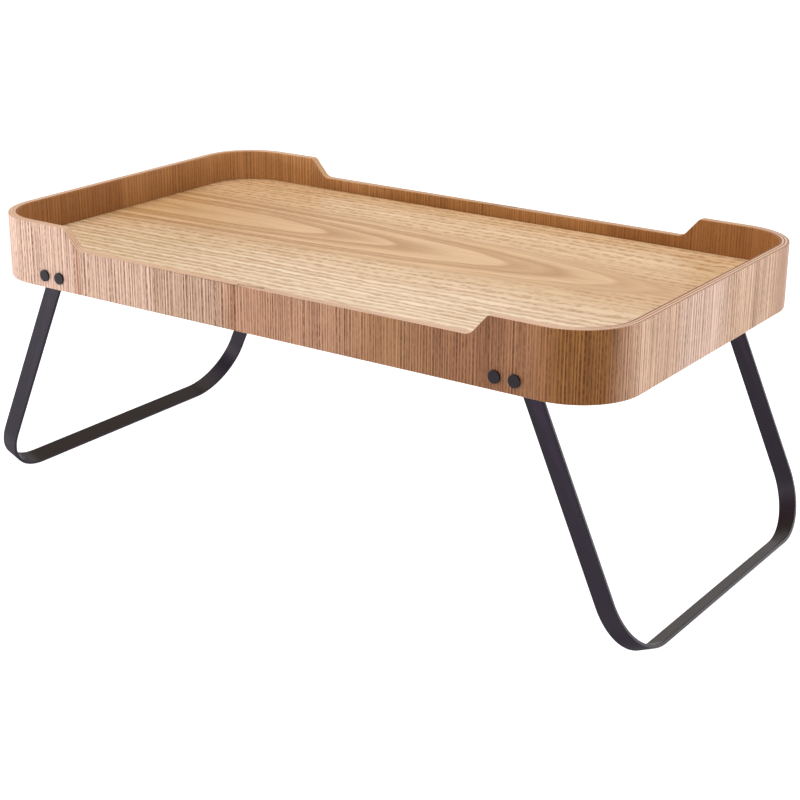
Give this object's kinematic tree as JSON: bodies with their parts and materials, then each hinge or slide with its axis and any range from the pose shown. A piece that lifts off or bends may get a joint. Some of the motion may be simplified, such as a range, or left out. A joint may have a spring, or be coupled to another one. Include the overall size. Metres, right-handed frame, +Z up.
{
  "type": "bed tray table",
  "caption": "Folding bed tray table with a bent plywood rim, low at the middle of its long sides, a veneered panel and black U-shaped leg frames that fold under it.",
  "frame": {"origin": "on the floor, under the middle of the tray, with both leg frames open", "axes": "+X along the tray's length, +Y across the tray to the rear, +Z up"},
  "size_m": [0.653, 0.3486, 0.2514],
  "materials": {
    "rim_veneer": "satin lacquered straight-grained veneer on bent plywood",
    "panel_veneer": "satin lacquered ash-like veneer",
    "black_powder_coat": "satin black powder coat on bent flat steel bar",
    "black_fasteners": "satin black steel",
    "zinc_steel": "zinc-plated pressed steel",
    "nylon": "natural nylon"
  },
  "bodies": {
    "tray": {"rim_left": "rim_veneer", "rim_right": "rim_veneer", "panel": "panel_veneer", "hinge_plate_front_left": "zinc_steel", "pivot_post_front_left": "black_fasteners", "spacer_bush_front_left": "nylon", "friction_washer_front_left": "nylon", "pivot_screw_front_left": "black_fasteners", "fixing_post_front_left": "black_fasteners", "fixing_screw_front_left": "black_fasteners", "hinge_plate_front_right": "zinc_steel", "pivot_post_front_right": "black_fasteners", "spacer_bush_front_right": "nylon", "friction_washer_front_right": "nylon", "pivot_screw_front_right": "black_fasteners", "fixing_post_front_right": "black_fasteners", "fixing_screw_front_right": "black_fasteners", "hinge_plate_rear_left": "zinc_steel", "pivot_post_rear_left": "black_fasteners", "spacer_bush_rear_left": "nylon", "friction_washer_rear_left": "nylon", "pivot_screw_rear_left": "black_fasteners", "fixing_post_rear_left": "black_fasteners", "fixing_screw_rear_left": "black_fasteners", "hinge_plate_rear_right": "zinc_steel", "pivot_post_rear_right": "black_fasteners", "spacer_bush_rear_right": "nylon", "friction_washer_rear_right": "nylon", "pivot_screw_rear_right": "black_fasteners", "fixing_post_rear_right": "black_fasteners", "fixing_screw_rear_right": "black_fasteners"},
    "left_leg": {"leg_frame_left": "black_powder_coat"},
    "right_leg": {"leg_frame_right": "black_powder_coat"}
  },
  "joints": [
    {"name": "left_leg_fold", "type": "hinge", "parent": "tray", "child": "left_leg", "pos_m": [-0.2285, 0, 0.2077], "axis": [0, -1, 0], "range_deg": [0, 114]},
    {"name": "right_leg_fold", "type": "hinge", "parent": "tray", "child": "right_leg", "pos_m": [0.2285, 0, 0.2077], "axis": [0, 1, 0], "range_deg": [0, 114]}
  ]
}
